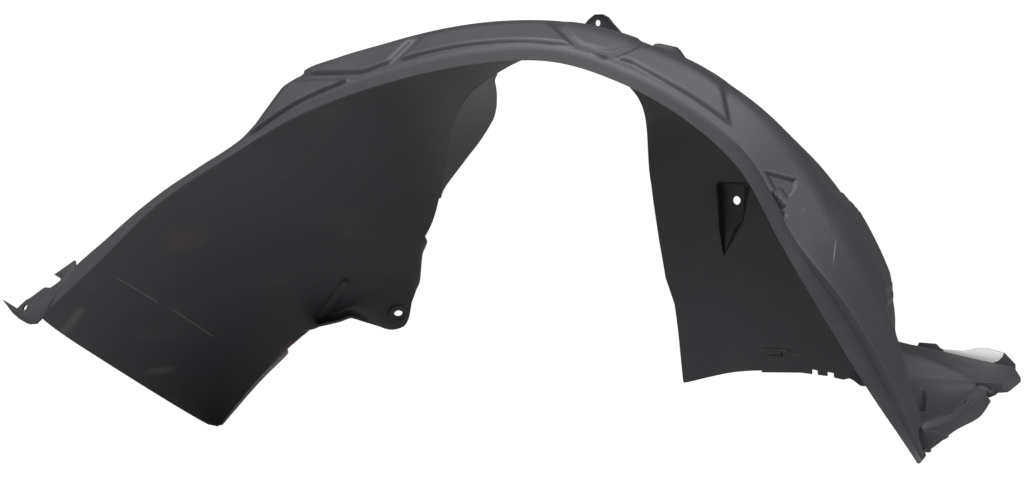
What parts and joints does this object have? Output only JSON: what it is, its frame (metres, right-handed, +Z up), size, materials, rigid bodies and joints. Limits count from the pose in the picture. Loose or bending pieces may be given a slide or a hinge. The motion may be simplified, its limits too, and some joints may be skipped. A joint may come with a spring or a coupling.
{
  "type": "wheel arch liner",
  "caption": "Moulded plastic front wheel arch liner: curved rear wall, panelled outboard band, inboard wall with a clip pocket, fixing ears and lugs, and a front flap.",
  "frame": {"origin": "middle of the screw hole in the rear ear", "axes": "+X to the front of the car, +Y inboard along the axle, +Z up, as fitted"},
  "size_m": [1.0113, 0.3001, 0.4117],
  "materials": {
    "liner": "satin black moulded polypropylene with fine scuffs",
    "label": "plain paper sticker"
  },
  "bodies": {
    "root": {"arch_liner": "liner", "part_label": "label"}
  },
  "joints": []
}
